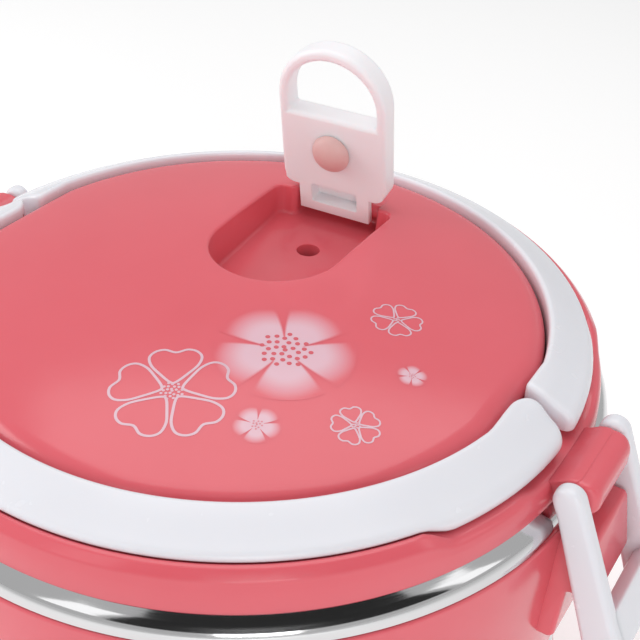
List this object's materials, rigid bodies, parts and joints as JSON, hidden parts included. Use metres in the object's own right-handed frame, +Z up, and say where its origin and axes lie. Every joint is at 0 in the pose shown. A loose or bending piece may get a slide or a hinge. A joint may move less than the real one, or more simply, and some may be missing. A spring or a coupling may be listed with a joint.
{
  "type": "tiffin carrier",
  "caption": "Round stacking lunch carrier: steel bowls in plastic shells, a sealing lid with a steam vent tab, folding ring handles and hinged side clips.",
  "frame": {"origin": "centre of the foot, on the surface that the carrier stands on", "axes": "+Z up through the stack; +X towards one pair of side clips; +Y towards the vent tab"},
  "size_m": [0.1978, 0.1628, 0.2064],
  "materials": {
    "pink_plastic": "glossy moulded polypropylene",
    "white_plastic": "glossy moulded polypropylene",
    "milky_plastic": "semi-translucent polypropylene",
    "silicone": "soft matte silicone",
    "polished_steel": "polished stainless steel"
  },
  "bodies": {
    "lower_tier": {"lower_shell": "pink_plastic", "lower_bowl": "polished_steel"},
    "upper_tier": {"upper_shell": "pink_plastic", "upper_bowl": "polished_steel", "tier_gasket": "silicone", "tier_clip_pin_right": "polished_steel", "tier_clip_pin_left": "polished_steel"},
    "lid": {"lid_cover": "pink_plastic", "vent_cup": "pink_plastic", "lid_liner": "white_plastic", "lid_gasket": "silicone", "lid_clip_pin_right": "polished_steel", "lid_clip_pin_left": "polished_steel", "handle_pin_front_right": "polished_steel", "handle_pin_front_left": "polished_steel", "handle_pin_rear_right": "polished_steel", "handle_pin_rear_left": "polished_steel", "vent_hinge_pin": "polished_steel"},
    "front_handle": {"handle_front": "white_plastic"},
    "rear_handle": {"handle_rear": "white_plastic"},
    "vent_cap": {"vent_tab": "milky_plastic", "vent_plug": "silicone"},
    "right_lid_clip": {"lid_clip_right": "white_plastic"},
    "left_lid_clip": {"lid_clip_left": "white_plastic"},
    "right_tier_clip": {"tier_clip_right": "white_plastic"},
    "left_tier_clip": {"tier_clip_left": "white_plastic"}
  },
  "joints": [
    {"name": "tier_lift", "type": "slide", "parent": "lower_tier", "child": "upper_tier", "axis": [0, 0, 1], "range_m": [0, 0.06]},
    {"name": "lid_lift", "type": "slide", "parent": "upper_tier", "child": "lid", "axis": [0, 0, 1], "range_m": [0, 0.06]},
    {"name": "front_handle_fold", "type": "hinge", "parent": "lid", "child": "front_handle", "pos_m": [0, -0.00245, 0.1611], "axis": [-1, 0, 0], "range_deg": [0, 90]},
    {"name": "rear_handle_fold", "type": "hinge", "parent": "lid", "child": "rear_handle", "pos_m": [0, 0.00675, 0.1611], "axis": [1, 0, 0], "range_deg": [0, 90]},
    {"name": "vent_tab_hinge", "type": "hinge", "parent": "lid", "child": "vent_cap", "pos_m": [-0.00412, 0.04712, 0.1632], "axis": [0.9962, 0.0872, 0], "range_deg": [0, 72]},
    {"name": "right_lid_clip_hinge", "type": "hinge", "parent": "lid", "child": "right_lid_clip", "pos_m": [0.0817, 0, 0.1546], "axis": [0, -1, 0], "range_deg": [-8, 100]},
    {"name": "left_lid_clip_hinge", "type": "hinge", "parent": "lid", "child": "left_lid_clip", "pos_m": [-0.0817, 0, 0.1546], "axis": [0, 1, 0], "range_deg": [-8, 100]},
    {"name": "right_tier_clip_hinge", "type": "hinge", "parent": "upper_tier", "child": "right_tier_clip", "pos_m": [0.0817, 0, 0.0796], "axis": [0, -1, 0], "range_deg": [-8, 100]},
    {"name": "left_tier_clip_hinge", "type": "hinge", "parent": "upper_tier", "child": "left_tier_clip", "pos_m": [-0.0817, 0, 0.0796], "axis": [0, 1, 0], "range_deg": [-8, 100]}
  ]
}
